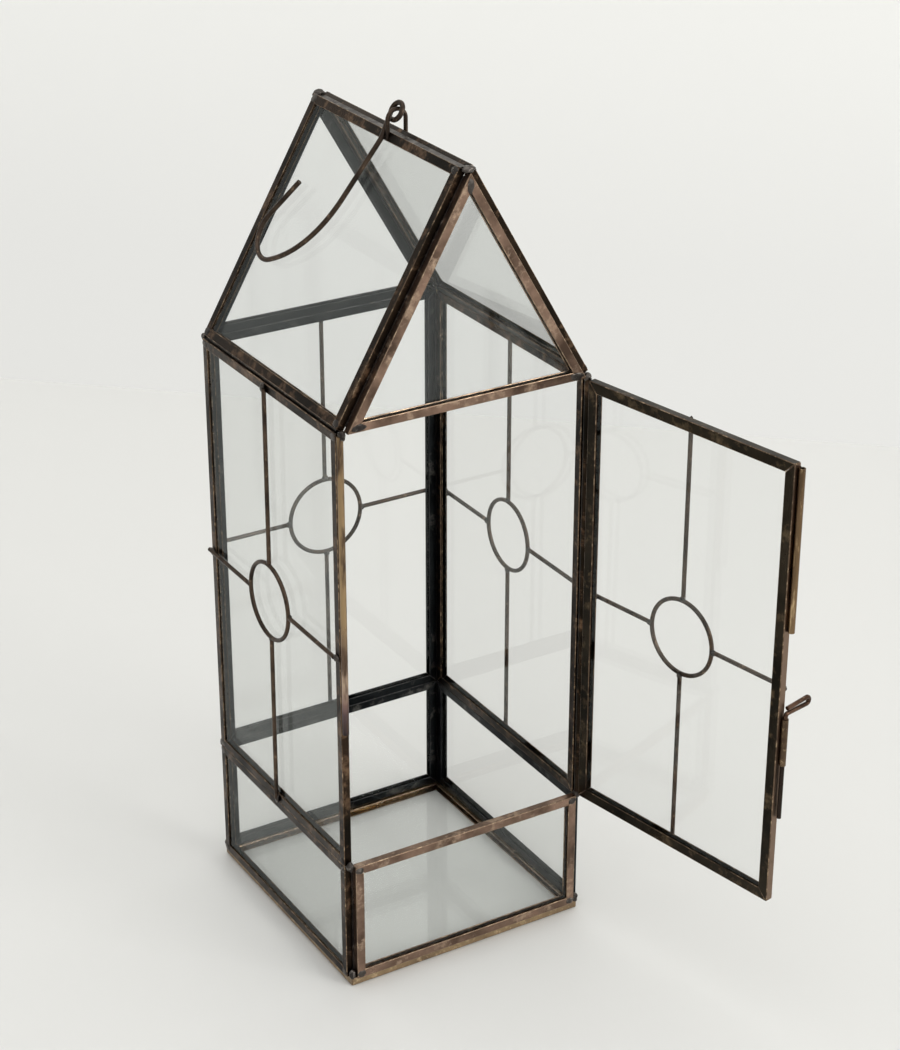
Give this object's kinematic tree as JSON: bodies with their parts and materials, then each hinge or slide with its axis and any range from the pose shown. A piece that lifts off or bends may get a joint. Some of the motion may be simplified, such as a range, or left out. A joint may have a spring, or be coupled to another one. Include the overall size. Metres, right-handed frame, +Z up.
{
  "type": "glass cloche",
  "caption": "House-shaped glass cloche of soldered metal channel frames with clear panes, a steep gabled roof, a tall hinged door with a wire latch, and a wire hanging hook on the ridge",
  "frame": {"origin": "centre of the walls' footprint on the ground", "axes": "+X to the right along the front, +Y from the front to the back, +Z up"},
  "size_m": [0.1314, 0.2007, 0.3127],
  "materials": {
    "patina_metal": "dark brown patina with worn copper and brass edges",
    "copper_rail": "pink-brown copper patina, satin",
    "edge_brass": "worn golden brown brass",
    "door_metal": "near-black patina with golden edges",
    "wire_metal": "dark patinated wire with brown-gold highlights",
    "tinted_brass": "golden tube with a heat tint at its lower end",
    "bright_brass": "bright brass tube",
    "pin_metal": "plain brass rod",
    "solder": "dulled solder",
    "clear_glass": "clear glass with a faint green edge"
  },
  "bodies": {
    "case": {"floor_frame": "edge_brass", "floor_pane": "clear_glass", "tray_front_frame": "copper_rail", "tray_front_pane": "clear_glass", "tray_left_frame": "patina_metal", "tray_left_pane": "clear_glass", "tray_back_frame": "patina_metal", "tray_back_pane": "clear_glass", "tray_right_frame": "patina_metal", "tray_right_pane": "clear_glass", "left_wall_frame": "patina_metal", "left_wall_pane": "clear_glass", "back_wall_frame": "patina_metal", "back_wall_pane": "clear_glass", "right_wall_frame": "patina_metal", "right_wall_pane": "clear_glass", "roof_left_frame": "patina_metal", "roof_left_pane": "clear_glass", "roof_right_frame": "patina_metal", "roof_right_pane": "clear_glass", "front_gable_frame": "copper_rail", "front_gable_pane": "clear_glass", "back_gable_frame": "patina_metal", "back_gable_pane": "clear_glass", "left_wall_ring": "wire_metal", "left_wall_bars": "wire_metal", "back_wall_ring": "wire_metal", "back_wall_bars": "wire_metal", "right_wall_ring": "wire_metal", "right_wall_bars": "wire_metal", "post_tube": "tinted_brass", "wall_knuckles": "wire_metal", "hinge_pin": "pin_metal", "ridge_eye": "wire_metal", "solder_seams": "solder"},
    "door": {"door_frame": "door_metal", "door_pane": "clear_glass", "door_ring": "wire_metal", "door_bars": "wire_metal", "door_knuckle": "wire_metal", "closing_tube": "bright_brass", "latch_tube": "bright_brass"},
    "latch": {"latch_wire": "wire_metal"},
    "hook": {"hanging_hook": "wire_metal"}
  },
  "joints": [
    {"name": "door_hinge", "type": "hinge", "parent": "case", "child": "door", "pos_m": [0.0485, -0.051, 0.1353], "axis": [0, 0, 1], "range_deg": [-100.2, 64]},
    {"name": "latch_turn", "type": "hinge", "parent": "door", "child": "latch", "pos_m": [0.0676, -0.14544, 0.1156], "axis": [0, 0, 1], "range_deg": [-108, 25]},
    {"name": "hook_swing", "type": "hinge", "parent": "case", "child": "hook", "pos_m": [0.00044, -0.0045, 0.30988], "axis": [0.866, 0, -0.5], "range_deg": [0, 155]}
  ]
}
